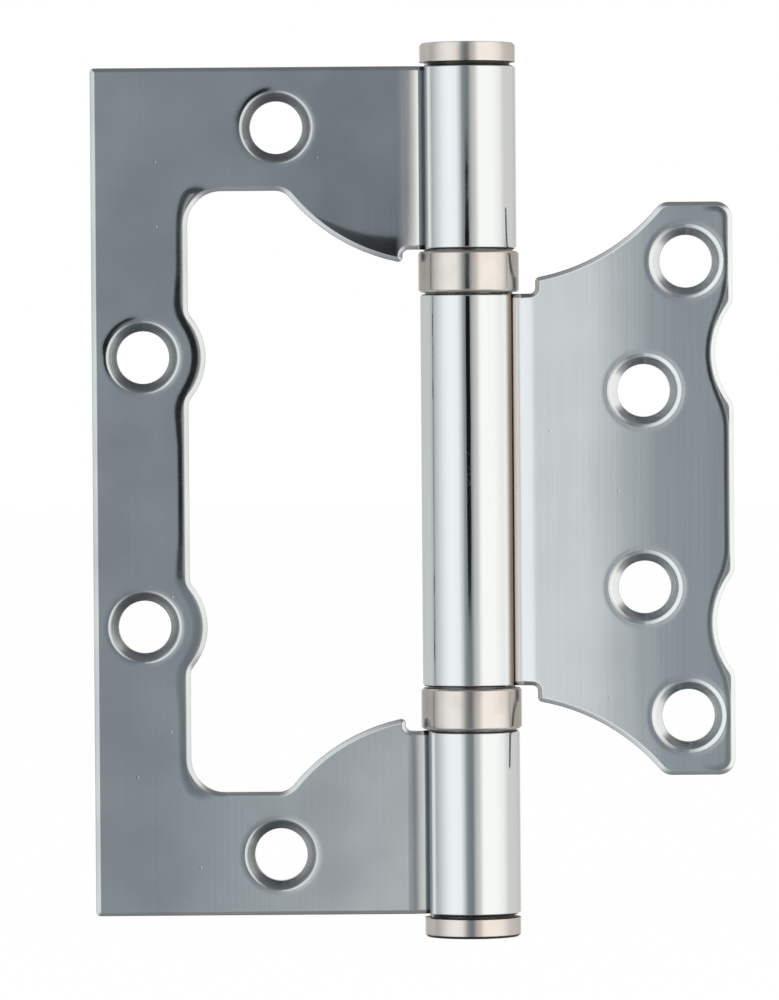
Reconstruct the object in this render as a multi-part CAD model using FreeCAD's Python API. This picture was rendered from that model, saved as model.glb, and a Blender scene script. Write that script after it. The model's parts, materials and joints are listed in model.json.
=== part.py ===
import FreeCAD, Part
import math
import os

# A non-mortise hinge, 100 x 75 x 2.5 mm: two steel leaves rolled round one pin, with a ball bearing
# above and one below the central knuckle. The inner leaf folds into the window of the outer one.
# Millimetres. The part is drawn round the pin: X to the right, Y away from the viewer, Z up the pin.
# The hinge lies open flat, outer leaf to the left, inner leaf to the right, screw heads to the front.

# Sheet and pin
sheet = 2.5                     # thickness of both leaves
pin_radius = 3.2
running_clearance = 0.05        # between the pin and the bore of the central knuckle
bend_radius = 4.25              # centre line of the bend that takes the sheet behind the pin
outer_seam_gap = 1.3            # between the outer leaf's rolled ends and its own face
inner_seam_gap = 1.8            # the same for the inner leaf
seam_round = 0.6                # outer corner of a rolled end
face_break_width = 0.5          # front edges of the blank, drawn in by the punch to a shallow slope
face_break_depth = 0.27
back_break = 0.2                # back edges of the blank

# Outer leaf
leaf_height = 100.0
outer_reach = 44.5              # pin axis to the free edge
outer_corner = 0.55
strip_width = 11.35             # between the free edge and the window
rail_height = 14.55             # above and below the window
window_corner = 4.0
boss_bulge = 2.05               # how far the metal round a middle hole bulges into the window
boss_blend = 1.8
shoulder_reach = 21.7           # where the far end of the ear's curve meets the window's top
shoulder_round = 2.2
ear_radius = 22.6               # curve of the ear's lower edge
ear_setback = 0.2               # from the start of the bend to the ear's tip
ear_drop = 1.55                 # how far the ear's tip reaches past the end of its knuckle
ear_round = 0.55
relief_round = 0.7              # notch between the ear and the knuckle

# Inner leaf, which clears the window all round
top_gap = 1.65
side_gap = 2.05
notch_gap = 2.1                 # round the bosses of the middle holes
ear_gap = 1.85
notch_blend = 1.8
inner_shoulder_round = 1.8

# Screw holes
screw_hole_radius = 3.1
countersink_radius = 4.15
outer_lip = 0.15                # width of the eased lip on each side of the countersink's edge
inner_lip = 0.25                # the holes of the inner leaf are dimpled, with a soft lip
outer_end_hole_reach = 22.6     # pin axis to the holes in the two rails
outer_end_hole_margin = 7.1     # from the leaf's top and bottom edges
outer_middle_hole_margin = 6.0  # from the free edge
outer_middle_hole_spacing = 31.8
inner_end_hole_side = 5.5       # from the inner leaf's free edge
inner_end_hole_margin = 7.0     # from its top and bottom edges
inner_middle_hole_side = 10.55  # from its free edge
inner_middle_hole_spacing = 23.2

# Knuckles and bearings
outer_knuckle_length = 21.6
bearing_height = 5.3            # from knuckle to knuckle
shell_radius = 5.95
shell_gap = 0.25                # dark line between a bearing's shell and each knuckle
shell_wall = 0.7
shell_break = 0.25
balls_per_bearing = 12
ball_side_clearance = 0.075     # between a ball and the pin, and between a ball and the shell
ball_clearance = 0.02           # between a ball and each race
race_bore_clearance = 0.1       # between the pin and both races
race_running_gap = 0.08         # between the turning race and the shell

# Caps
cap_radius = 5.67
cap_thickness = 2.25
cap_break = 0.3
cap_neck_radius = 5.0
cap_neck_height = 0.45          # dark groove between the cap and its knuckle
cap_stub_length = 5.0           # pressed into the outer knuckle
pin_chamfer = 0.4

# Worked out from the sizes above
half_sheet = sheet / 2
outer_bore = pin_radius                             # the outer knuckles grip the pin
inner_bore = pin_radius + running_clearance         # the central knuckle turns on it
barrel_radius = inner_bore + sheet
half_height = leaf_height / 2
knuckle_end = half_height - outer_knuckle_length    # inner end of each outer knuckle
central_end = knuckle_end - bearing_height          # end of the central knuckle
window_reach = outer_reach - strip_width            # pin axis to the far side of the window
window_top = half_height - rail_height
boss_reach = outer_reach - outer_middle_hole_margin
boss_height = outer_middle_hole_spacing / 2
boss_radius = boss_reach - window_reach + boss_bulge
inner_reach = window_reach - side_gap
inner_top = window_top - top_gap
notch_radius = boss_radius + notch_gap              # round the same centre as the boss
past_barrel = barrel_radius + 1                     # a plane clear of the barrel
shell_bore = shell_radius - shell_wall
ball_radius = (shell_bore - pin_radius) / 2 - ball_side_clearance


def point(x, y, z):
    return FreeCAD.Vector(x, y, z)


def line(start, end):
    return Part.LineSegment(start, end).toShape()


def arc(start, through, end):
    return Part.Arc(start, through, end).toShape()


def bend_start(bore):
    """Distance from the pin axis to the line where the flat leaf starts to bend."""
    ring = bore + half_sheet
    return math.sqrt((ring + bend_radius) ** 2 - bend_radius ** 2)


def rolled_section(bore, reach, seam_gap):
    """Section across the pin: flat leaf to the left, bend behind the pin, roll round it to the seam."""
    barrel = bore + sheet
    bend_x = -bend_start(bore)
    bend_centre = point(bend_x, bend_radius, 0)
    to_bend = bend_centre.Length
    back = bend_centre / to_bend
    front_curve = bend_radius + half_sheet
    back_curve = bend_radius - half_sheet

    # The rolled end stops where its outer corner is one seam gap away from the leaf's front face
    reach_of_gap = front_curve + seam_gap
    cosine = (barrel ** 2 + to_bend ** 2 - reach_of_gap ** 2) / (2 * barrel * to_bend)
    tail_angle = math.acos(cosine) - math.atan2(bend_radius, -bend_x)
    tail = point(-math.cos(tail_angle), -math.sin(tail_angle), 0)
    past_tail = tail_angle + seam_round / barrel
    corner = tail * barrel
    before_corner = tail * (barrel - seam_round)
    after_corner = point(-math.cos(past_tail), -math.sin(past_tail), 0) * barrel
    corner_middle = (corner + (before_corner + after_corner) / 2) / 2

    turn_back = math.atan2(back.y, back.x)
    turn_front = tail_angle - math.pi
    half_way = (turn_back + turn_front) / 2
    across = point(math.cos(half_way), math.sin(half_way), 0)

    # Both bend arcs run from straight below their centre to the line that joins it with the pin
    down = point(0, -1, 0)
    slanted = (down - back).normalize()
    edges = [
        line(point(-reach, -half_sheet, 0), point(bend_x, -half_sheet, 0)),
        arc(point(bend_x, -half_sheet, 0), bend_centre + slanted * front_curve, back * bore),
        arc(back * bore, across * bore, tail * bore),
        line(tail * bore, before_corner),
        arc(before_corner, corner_middle, after_corner),
        arc(after_corner, across * barrel, back * barrel),
        arc(back * barrel, bend_centre + slanted * back_curve, point(bend_x, half_sheet, 0)),
        line(point(bend_x, half_sheet, 0), point(-reach, half_sheet, 0)),
        line(point(-reach, half_sheet, 0), point(-reach, -half_sheet, 0)),
    ]
    return Part.Face(Part.Wire(edges))


def ear_centre():
    """Centre of the ears' curves, as distance from the pin and height, the same for both leaves."""
    tip_x = bend_start(outer_bore) + ear_setback
    tip_z = knuckle_end - ear_drop
    chord_x = shoulder_reach - tip_x
    chord_z = window_top - tip_z
    chord = math.hypot(chord_x, chord_z)
    rise = math.sqrt(ear_radius ** 2 - (chord / 2) ** 2)
    middle_x = (shoulder_reach + tip_x) / 2
    middle_z = (window_top + tip_z) / 2
    return middle_x - rise * chord_z / chord, middle_z + rise * chord_x / chord


def ear_height(radius, x):
    """Height of an ear's curve at a distance from the pin."""
    centre_x, centre_z = ear_centre()
    return centre_z - math.sqrt(radius ** 2 - (x - centre_x) ** 2)


def ear_reach(radius, z):
    """Distance from the pin at which an ear's curve comes to a height."""
    centre_x, centre_z = ear_centre()
    return centre_x + math.sqrt(radius ** 2 - (centre_z - z) ** 2)


def blank(corners):
    """Solid under a closed outline. A corner is x, z, or x, z, then the point its arc comes through."""
    edges = []
    for index, corner in enumerate(corners):
        before = corners[index - 1]
        start = point(before[0], past_barrel, before[1])
        end = point(corner[0], past_barrel, corner[1])
        if len(corner) == 4:
            edges.append(arc(start, point(corner[2], past_barrel, corner[3]), end))
        else:
            edges.append(line(start, end))
    return Part.Face(Part.Wire(edges)).extrude(point(0, -2 * past_barrel, 0))


def round_corners(solid, corners, radius):
    """Rounds the edges across the sheet that stand at the given x, z places."""
    chosen = []
    for edge in solid.Edges:
        first = edge.Vertexes[0].Point
        last = edge.Vertexes[-1].Point
        if abs(first.x - last.x) > 1e-6 or abs(first.z - last.z) > 1e-6:
            continue
        if any(math.hypot(first.x - x, first.z - z) < 1e-4 for x, z in corners):
            chosen.append(edge)
    return solid.makeFillet(radius, chosen)


def edges_on_face(solid, y, bend_x):
    """Outline edges of the flat leaf on its face at y, without the bend line and the middle plane."""
    chosen = []
    for edge in solid.Edges:
        box = edge.BoundBox
        on_face = abs(box.YMin - y) < 1e-6 and abs(box.YMax - y) < 1e-6
        on_bend = abs(box.XMin - bend_x) < 1e-6 and abs(box.XMax - bend_x) < 1e-6
        on_middle = box.ZMax < 1e-6
        if on_face and not on_bend and not on_middle:
            chosen.append(edge)
    return chosen


def front_face_first(solid):
    """The same solid with its flat front face listed first: a sloping edge takes its width from there."""
    front = []
    others = []
    for face in solid.Faces:
        box = face.BoundBox
        if abs(box.YMin + half_sheet) < 1e-6 and abs(box.YMax + half_sheet) < 1e-6:
            front.append(face)
        else:
            others.append(face)
    return Part.Solid(Part.Shell(front + others))


def whole_leaf(upper_half):
    """Adds the mirrored lower half."""
    lower_half = upper_half.mirror(point(0, 0, 0), point(0, 0, 1))
    return upper_half.fuse(lower_half).removeSplitter()


def rolled_leaf(section, half_blank, bend_x):
    """Upper half of a leaf: its blank taken round the rolled section, with its edges broken."""
    half = section.extrude(point(0, 0, half_height)).common(half_blank)
    half = half.makeChamfer(back_break, edges_on_face(half, half_sheet, bend_x))
    half = front_face_first(half)
    front_edges = edges_on_face(half, -half_sheet, bend_x)
    return half.makeChamfer(face_break_width, face_break_depth, front_edges)


def screw_hole(leaf, x, z, lip):
    """Cuts a countersunk hole from the front, its lip eased at half the slope of the countersink."""
    front = point(x, -half_sheet, z)
    inward = point(0, 1, 0)
    depth = countersink_radius - screw_hole_radius
    lip_drop = lip * math.sin(math.pi / 4)
    tools = [
        Part.makeCylinder(screw_hole_radius, 2 * sheet, front - inward, inward),
        Part.makeCone(countersink_radius, screw_hole_radius, depth, front, inward),
        Part.makeCone(countersink_radius + lip, countersink_radius - lip_drop, lip_drop, front, inward),
    ]
    return leaf.cut(tools)


def outer_leaf():
    bend = bend_start(outer_bore)
    ear_tip = bend + ear_setback
    ear_tip_z = knuckle_end - ear_drop
    boss_half = math.sqrt(boss_radius ** 2 - (boss_reach - window_reach) ** 2)
    ear_middle = (shoulder_reach + ear_tip) / 2
    half_blank = blank([
        (past_barrel, half_height),
        (-outer_reach, half_height),
        (-outer_reach, 0),
        (-window_reach, 0),
        (-window_reach, boss_height - boss_half),
        (-window_reach, boss_height + boss_half, boss_radius - boss_reach, boss_height),
        (-window_reach, window_top),
        (-shoulder_reach, window_top),
        (-ear_tip, ear_tip_z, -ear_middle, ear_height(ear_radius, ear_middle)),
        (-ear_tip, knuckle_end),
        (past_barrel, knuckle_end),
    ])
    half_blank = round_corners(half_blank, [(-outer_reach, half_height)], outer_corner)
    half_blank = round_corners(half_blank, [(-window_reach, window_top)], window_corner)
    half_blank = round_corners(half_blank, [(-shoulder_reach, window_top)], shoulder_round)
    half_blank = round_corners(half_blank, [(-ear_tip, ear_tip_z)], ear_round)
    half_blank = round_corners(half_blank, [(-ear_tip, knuckle_end)], relief_round)
    boss_ends = [
        (-window_reach, boss_height - boss_half),
        (-window_reach, boss_height + boss_half),
    ]
    half_blank = round_corners(half_blank, boss_ends, boss_blend)
    half = rolled_leaf(rolled_section(outer_bore, outer_reach, outer_seam_gap), half_blank, -bend)
    half = screw_hole(half, -outer_end_hole_reach, half_height - outer_end_hole_margin, outer_lip)
    half = screw_hole(half, -boss_reach, boss_height, outer_lip)
    return whole_leaf(half)


def inner_leaf():
    # Drawn to the left like the outer leaf, folded into its window, then mirrored to the right
    bend = bend_start(inner_bore)
    ear_curve = ear_radius + ear_gap
    ear_tip = bend + ear_setback
    ear_tip_z = ear_height(ear_curve, ear_tip)
    shoulder = ear_reach(ear_curve, inner_top)
    notch_half = math.sqrt(notch_radius ** 2 - (boss_reach - inner_reach) ** 2)
    ear_middle = (shoulder + ear_tip) / 2
    half_blank = blank([
        (past_barrel, 0),
        (past_barrel, central_end),
        (-ear_tip, central_end),
        (-ear_tip, ear_tip_z),
        (-shoulder, inner_top, -ear_middle, ear_height(ear_curve, ear_middle)),
        (-inner_reach, inner_top),
        (-inner_reach, boss_height + notch_half),
        (-inner_reach, boss_height - notch_half, notch_radius - boss_reach, boss_height),
        (-inner_reach, 0),
    ])
    half_blank = round_corners(half_blank, [(-inner_reach, inner_top)], window_corner - side_gap)
    half_blank = round_corners(half_blank, [(-shoulder, inner_top)], inner_shoulder_round)
    half_blank = round_corners(half_blank, [(-ear_tip, ear_tip_z)], ear_round)
    half_blank = round_corners(half_blank, [(-ear_tip, central_end)], relief_round)
    notch_ends = [
        (-inner_reach, boss_height + notch_half),
        (-inner_reach, boss_height - notch_half),
    ]
    half_blank = round_corners(half_blank, notch_ends, notch_blend)
    half = rolled_leaf(rolled_section(inner_bore, inner_reach, inner_seam_gap), half_blank, -bend)
    end_hole_x = inner_end_hole_side - inner_reach
    middle_hole_x = inner_middle_hole_side - inner_reach
    half = screw_hole(half, end_hole_x, inner_top - inner_end_hole_margin, inner_lip)
    half = screw_hole(half, middle_hole_x, inner_middle_hole_spacing / 2, inner_lip)
    return whole_leaf(half).mirror(point(0, 0, 0), point(1, 0, 0))


def turned(corners):
    """Solid turned round the pin axis from a closed outline of radius and height."""
    loop = [point(radius, 0, z) for radius, z in corners]
    loop.append(loop[0])
    face = Part.Face(Part.makePolygon(loop))
    return face.revolve(point(0, 0, 0), point(0, 0, 1), 360)


def rim_edges(solid, radius, heights):
    """Full circles of a turned solid at a radius and at any of the heights."""
    chosen = []
    for edge in solid.Edges:
        box = edge.BoundBox
        flat = abs(box.ZMax - box.ZMin) < 1e-6
        wide = abs(box.XMax - radius) < 1e-4
        if flat and wide and any(abs(box.ZMin - z) < 1e-6 for z in heights):
            chosen.append(edge)
    return chosen


def pin():
    half_length = half_height - cap_stub_length
    solid = Part.makeCylinder(pin_radius, 2 * half_length, point(0, 0, -half_length))
    return solid.makeChamfer(pin_chamfer, rim_edges(solid, pin_radius, [-half_length, half_length]))


def upper_cap():
    neck_top = half_height + cap_neck_height
    cap_top = neck_top + cap_thickness
    solid = turned([
        (0, half_height - cap_stub_length),
        (outer_bore, half_height - cap_stub_length),
        (outer_bore, half_height),
        (cap_neck_radius, half_height),
        (cap_neck_radius, neck_top),
        (cap_radius, neck_top),
        (cap_radius, cap_top),
        (0, cap_top),
    ])
    return solid.makeChamfer(cap_break, rim_edges(solid, cap_radius, [cap_top]))


def bearing_shell():
    low = central_end + shell_gap
    high = knuckle_end - shell_gap
    solid = turned([(shell_bore, low), (shell_radius, low), (shell_radius, high), (shell_bore, high)])
    return solid.makeChamfer(shell_break, rim_edges(solid, shell_radius, [low, high]))


def race_height():
    """Height of either race: what the balls and their clearance leave of the bearing."""
    return (bearing_height - 2 * (ball_radius + ball_clearance)) / 2


def race(rim, base_z):
    bore = pin_radius + race_bore_clearance
    disc = Part.makeCylinder(rim, race_height(), point(0, 0, base_z))
    return disc.cut(Part.makeCylinder(bore, race_height(), point(0, 0, base_z)))


def turning_race():
    """Race under the balls of the upper bearing. It turns with the central knuckle."""
    return race(shell_bore - race_running_gap, central_end)


def fixed_race():
    """Race over the balls of the upper bearing. It is pressed into the shell."""
    return race(shell_bore, knuckle_end - race_height())


def ball(number):
    """A ball of the upper bearing. The balls are sealed in, so each is kept light, with flats all round."""
    block = Part.makeBox(2 * ball_radius, 2 * ball_radius, 2 * ball_radius)
    block.translate(point(-ball_radius, -ball_radius, -ball_radius))
    solid = block
    for axis in (point(1, 0, 0), point(0, 1, 0), point(0, 0, 1)):
        turned_block = block.copy()
        turned_block.rotate(point(0, 0, 0), axis, 45)
        solid = solid.common(turned_block)
    pitch_radius = (pin_radius + shell_bore) / 2
    solid.translate(point(pitch_radius, 0, (central_end + knuckle_end) / 2))
    solid.rotate(point(0, 0, 0), point(0, 0, 1), 360 * number / balls_per_bearing)
    return solid


def below(solid):
    """The same piece at the lower end of the hinge."""
    return solid.mirror(point(0, 0, 0), point(0, 0, 1))


nodes = {
    "outer_leaf": outer_leaf(),
    "inner_leaf": inner_leaf(),
    "pin": pin(),
    "upper_cap": upper_cap(),
    "lower_cap": below(upper_cap()),
    "upper_bearing_shell": bearing_shell(),
    "lower_bearing_shell": below(bearing_shell()),
    "upper_bearing_fixed_race": fixed_race(),
    "lower_bearing_fixed_race": below(fixed_race()),
    "upper_bearing_turning_race": turning_race(),
    "lower_bearing_turning_race": below(turning_race()),
}
for number in range(balls_per_bearing):
    nodes[f"upper_ball_{number + 1:02d}"] = ball(number)
    nodes[f"lower_ball_{number + 1:02d}"] = below(ball(number))

# The origin is on the outer leaf's mounting face, midway between its two end screw holes
to_origin = point(outer_end_hole_reach, -half_sheet, 0)
os.makedirs("parts", exist_ok=True)
for name, solid in nodes.items():
    solid.translate(to_origin)
    solid.exportStep(f"parts/{name}.step")
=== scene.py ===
import bmesh
import bpy
import json
import math
from mathutils import Matrix, Vector


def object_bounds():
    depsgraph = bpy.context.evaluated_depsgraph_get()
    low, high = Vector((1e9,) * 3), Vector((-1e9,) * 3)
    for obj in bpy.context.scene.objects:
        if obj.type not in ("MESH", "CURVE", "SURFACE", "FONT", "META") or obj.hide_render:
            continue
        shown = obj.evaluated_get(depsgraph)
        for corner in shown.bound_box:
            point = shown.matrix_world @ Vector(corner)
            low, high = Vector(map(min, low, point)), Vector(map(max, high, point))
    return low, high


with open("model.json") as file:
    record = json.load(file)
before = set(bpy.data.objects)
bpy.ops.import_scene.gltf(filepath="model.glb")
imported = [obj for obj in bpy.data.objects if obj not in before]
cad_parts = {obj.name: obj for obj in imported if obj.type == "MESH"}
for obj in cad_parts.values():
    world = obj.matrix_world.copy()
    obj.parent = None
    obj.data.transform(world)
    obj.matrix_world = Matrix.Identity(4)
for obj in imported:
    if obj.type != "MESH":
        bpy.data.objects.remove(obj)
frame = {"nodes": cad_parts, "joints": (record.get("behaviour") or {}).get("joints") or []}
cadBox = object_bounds()
print("frame loaded:", len(frame["nodes"]), "nodes")

mm = 0.001
pinAxis = Vector(next(j for j in frame["joints"] if j["name"] == "leaf_swing")["pos_m"])
photoSize = (779, 1000)  # the photograph's frame, in pixels


def linearColour(hexColour, level=1.0):
    channels = [int(hexColour[i:i + 2], 16) / 255 for i in (1, 3, 5)]
    return [level * (c / 12.92 if c <= 0.04045 else ((c + 0.055) / 1.055) ** 2.4) for c in channels] + [1.0]


def newMaterial(name):
    material = bpy.data.materials.new(name)
    material.use_nodes = True
    material.node_tree.nodes.clear()
    return material


# Adds a node with its settings. An input is a number, a colour or the socket it is linked to, and a node
# stands for its first output
def addNode(tree, kind, inputs=None, **settings):
    node = tree.nodes.new("ShaderNode" + kind)
    for key, value in settings.items():
        setattr(node, key, value)
    for key, value in (inputs or {}).items():
        if isinstance(value, bpy.types.Node):
            value = value.outputs[0]
        if isinstance(value, bpy.types.NodeSocket):
            tree.links.new(value, node.inputs[key])
        else:
            node.inputs[key].default_value = value
    return node


# Camera

camera = {
    "distance": 830.0,        # mm from the pin
    "pixelsPerMm": 8.47,      # at the leaves
    "pinCentre": (470.2, 490.5),  # where the middle of the pin lies in the photograph
    "heightAbovePin": 12.0,   # mm, from the horizon between the two caps
    "lean": 0.425,            # degrees, the hinge's top leans to the left
    "sensor": 36.0,           # mm, along the photograph's long side
    "clip": (0.01, 20.0),     # m
}


def cameraStand():
    right = (photoSize[0] / 2 - camera["pinCentre"][0]) / camera["pixelsPerMm"]
    return pinAxis + Vector((right, -camera["distance"], camera["heightAbovePin"])) * mm


def addCamera():
    stand = cameraStand()
    down = (photoSize[1] / 2 - camera["pinCentre"][1]) / camera["pixelsPerMm"]
    lookAt = Vector((stand.x, pinAxis.y, pinAxis.z - down * mm))
    data = bpy.data.cameras.new("camera")
    data.sensor_width = camera["sensor"]
    data.lens = camera["sensor"] * camera["pixelsPerMm"] * camera["distance"] / photoSize[1]
    data.clip_start, data.clip_end = camera["clip"]
    obj = bpy.data.objects.new("camera", data)
    bpy.context.scene.collection.objects.link(obj)
    aim = (lookAt - stand).to_track_quat("-Z", "Y").to_matrix().to_4x4()
    roll = Matrix.Rotation(math.radians(-camera["lean"]), 4, "Z")
    obj.matrix_world = Matrix.Translation(stand) @ aim @ roll
    bpy.context.scene.camera = obj


addCamera()
print("camera set")


# Studio: a pale floor, two soft lamps, and a surround that only the metal reflects

studio = {
    "floorColour": "#EDEDEB",
    "floorSeen": 0.985,        # how much of the floor the camera sees as plain white
    "floorSize": 6000.0,       # mm
    "lampLevel": 0.75,         # light that the lamps and the world give a white floor
    "lampPower": 11.0,         # W, of a lamp at level 1
    "lampSides": {"lampLeft": -48, "lampRight": 48},  # degrees round the pin from the camera
    "lampDistance": 1300.0,    # mm from the pin
    "lampHeight": 700.0,       # mm over it
    "lampSize": (1000.0, 1400.0),  # mm
    "surroundRadius": 1000.0,  # mm, it stands just behind the camera
    # degrees round the pin from the camera, to the right positive: level of the surround there
    "surroundLevels": {
        -180: 1.1, -150: 0.74, -124: 0.81, -111: 0.82, -104: 0.72, -92: 0.68, -83: 0.84, -74: 1.0,
        -65: 1.17, -57: 1.27, -45: 1.34, -28: 1.26, -24: 1.04, -19: 0.80, -14: 0.50, -11: 0.42, -8: 0.36,
        -3: 0.33, 1: 0.33, 4: 0.48, 9: 0.70, 14: 0.80, 18.5: 0.95, 23: 1.25, 28: 1.42, 60: 1.40, 80: 1.24,
        95: 0.92, 130: 0.86, 150: 0.70, 180: 1.1,
    },
    "tintLeft": "#FBFBF9",
    "tintFront": "#E3EFF5",    # of the dim part round the camera
    "tintRight": "#FFFBF5",
    "front": (-18, 3),         # degrees, where the dim part starts and ends
    "softBoxEnd": (30.0, 55.0),  # degrees over the horizon where the soft boxes start to fade, and end
    "overhead": 0.26,          # level of the surround over them
    "underneath": 0.42,        # the same under them
    "straightDown": 0.15,
    "cameraBody": (150.0, 107.0),  # mm, what the polished metal shows of the camera
    "cameraBodyShift": (-45.0, -20.0, 0.3),  # mm along X, Y and Z from the lens
    "cameraBodyColour": "#19191D",
}


def onlyReflected(obj):
    obj.visible_camera = False
    obj.visible_diffuse = False
    obj.visible_shadow = False
    obj.visible_transmission = False


def meshOf(name, points, faces):
    mesh = bpy.data.meshes.new(name)
    mesh.from_pydata(points, [], faces)
    return mesh


def addStagePiece(name, mesh, material):
    mesh.materials.append(material)
    obj = bpy.data.objects.new(name, mesh)
    bpy.context.scene.collection.objects.link(obj)
    return obj


def addFloor():
    material = newMaterial("painted board, matt pale")
    tree = material.node_tree
    ray = addNode(tree, "LightPath")
    board = addNode(tree, "BsdfDiffuse", {"Color": linearColour(studio["floorColour"])})
    white = addNode(tree, "Emission", {"Color": (1, 1, 1, 1), "Strength": 1.0})
    byCamera = ray.outputs["Is Camera Ray"]
    seen = addNode(tree, "Math", {0: byCamera, 1: studio["floorSeen"]}, operation="MULTIPLY")
    mix = addNode(tree, "MixShader", {0: seen, 1: board, 2: white})
    addNode(tree, "OutputMaterial", {"Surface": mix})
    half = studio["floorSize"] / 2 * mm
    low = cadBox[0][2]
    points = [(-half, -half, low), (half, -half, low), (half, half, low), (-half, half, low)]
    floor = addStagePiece("floor", meshOf("floor", points, [(0, 1, 2, 3)]), material)
    floor.visible_glossy = False  # the barrel and the leaves show the surround all the way down


def addSurround():
    material = newMaterial("cloth of the surround, lit unevenly")
    tree = material.node_tree
    place = addNode(tree, "TexCoord")
    axes = addNode(tree, "SeparateXYZ", {0: place.outputs["Object"]})
    forward = addNode(tree, "Math", {0: axes.outputs["Y"], 1: -1.0}, operation="MULTIPLY")
    angle = addNode(tree, "Math", {0: axes.outputs["X"], 1: forward}, operation="ARCTAN2")
    turn = addNode(tree, "MapRange", {0: angle, 1: -math.pi, 2: math.pi})
    levels = studio["surroundLevels"]
    highest = max(levels.values())
    frontStart, frontEnd = studio["front"]
    ramp = addNode(tree, "ValToRGB", {0: turn})
    stops = ramp.color_ramp.elements
    while len(stops) < len(levels):
        stops.new(0.5)
    for stop, (degrees, level) in zip(stops, sorted(levels.items())):
        tint = "tintLeft" if degrees < frontStart else "tintFront" if degrees < frontEnd else "tintRight"
        stop.position = (degrees + 180) / 360
        stop.color = linearColour(studio[tint], level / highest)
    # Over and under the soft boxes the surround is dim
    radius = studio["surroundRadius"] * mm
    fadeStart, fadeEnd = (math.sin(math.radians(v)) * radius for v in studio["softBoxEnd"])
    dim = [[studio[k] / highest] * 3 + [1] for k in ("overhead", "underneath", "straightDown")]
    height = axes.outputs["Z"]
    over, under = (
        addNode(tree, "MapRange", {0: height, 1: start, 2: stop}, interpolation_type="SMOOTHSTEP")
        for start, stop in ((fadeStart, fadeEnd), (-fadeStart, -fadeEnd))
    )
    below = addNode(tree, "MapRange", {0: height, 1: -fadeEnd, 2: -radius})
    ground = addNode(tree, "Mix", {0: below, 6: dim[1], 7: dim[2]}, data_type="RGBA")
    upper = addNode(tree, "Mix", {0: over, 6: ramp, 7: dim[0]}, data_type="RGBA")
    lit = addNode(tree, "Mix", {0: under, 6: upper.outputs[2], 7: ground.outputs[2]}, data_type="RGBA")
    glow = addNode(tree, "Emission", {"Color": lit.outputs[2], "Strength": highest})
    addNode(tree, "OutputMaterial", {"Surface": glow})

    dome = bmesh.new()
    bmesh.ops.create_uvsphere(dome, u_segments=96, v_segments=48, radius=radius)
    mesh = bpy.data.meshes.new("surround")
    dome.to_mesh(mesh)
    dome.free()
    surround = addStagePiece("surround", mesh, material)
    surround.location = (pinAxis.x, pinAxis.y, 0)
    onlyReflected(surround)


def addCameraBody():
    material = newMaterial("camera body, black")
    tree = material.node_tree
    black = addNode(tree, "Emission", {"Color": linearColour(studio["cameraBodyColour"]), "Strength": 1.0})
    addNode(tree, "OutputMaterial", {"Surface": black})
    wide, high = (size / 2 * mm for size in studio["cameraBody"])
    corners = 48
    points = []
    for i in range(corners):
        angle = 2 * math.pi * i / corners
        # The square roots make a soft rectangle of the circle
        across, up = (math.copysign(math.sqrt(abs(v)), v) for v in (math.cos(angle), math.sin(angle)))
        points.append((across * wide, 0, up * high))
    body = addStagePiece("cameraBody", meshOf("cameraBody", points, [tuple(range(corners))]), material)
    body.location = cameraStand() + Vector(studio["cameraBodyShift"]) * mm
    onlyReflected(body)


def addLamp(name, degrees):
    side = math.radians(degrees)
    away = Vector((math.sin(side), -math.cos(side), 0)) * studio["lampDistance"] * mm
    spot = pinAxis + away + Vector((0, 0, studio["lampHeight"] * mm))
    data = bpy.data.lights.new(name, "AREA")
    data.shape = "RECTANGLE"
    data.size, data.size_y = (size * mm for size in studio["lampSize"])
    data.energy = studio["lampPower"] * studio["lampLevel"]
    lamp = bpy.data.objects.new(name, data)
    bpy.context.scene.collection.objects.link(lamp)
    aim = (pinAxis - spot).to_track_quat("-Z", "Y").to_matrix().to_4x4()
    lamp.matrix_world = Matrix.Translation(spot) @ aim
    lamp.visible_glossy = False


def addWorld():
    world = bpy.data.worlds.new("studio")
    bpy.context.scene.world = world
    world.use_nodes = True
    tree = world.node_tree
    tree.nodes.clear()
    ray = addNode(tree, "LightPath")
    white = ray.outputs["Is Camera Ray"]
    for other in ("Is Glossy Ray", "Is Transmission Ray"):
        white = addNode(tree, "Math", {0: white, 1: ray.outputs[other]}, operation="MAXIMUM")
    level = addNode(tree, "MapRange", {0: white, 3: studio["lampLevel"], 4: 1.0})
    sky = addNode(tree, "Background", {"Color": (1, 1, 1, 1), "Strength": level})
    addNode(tree, "OutputWorld", {"Surface": sky})


addFloor()
addSurround()
addCameraBody()
for lampName, lampSide in studio["lampSides"].items():
    addLamp(lampName, lampSide)
addWorld()
bpy.context.scene.view_settings.view_transform = "Standard"
print("studio built")


# What the materials share

def slopeOf(degrees):
    return math.tan(math.radians(degrees))


# The values of one piece, where they differ from piece to piece
def valuesOf(finish, piece):
    return {key: value[piece] if isinstance(value, dict) else value for key, value in finish.items()}


# A place on a piece, in mm from the pin
def placeFromPin(tree):
    place = addNode(tree, "TexCoord")
    return addNode(tree, "Mapping", {
        0: place.outputs["Object"], "Location": -pinAxis / mm, "Scale": (1 / mm,) * 3,
    })


# 1 where a value is at the centre, and less the farther it is from there
def addBell(tree, value, centre, width):
    off = addNode(tree, "Math", {0: value, 1: centre}, operation="SUBTRACT")
    ratio = addNode(tree, "Math", {0: off, 1: width}, operation="DIVIDE")
    square = addNode(tree, "Math", {0: ratio, 1: 2.0}, operation="POWER")
    minus = addNode(tree, "Math", {0: square, 1: -1.0}, operation="MULTIPLY")
    return addNode(tree, "Math", {0: minus}, operation="EXPONENT")


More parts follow.
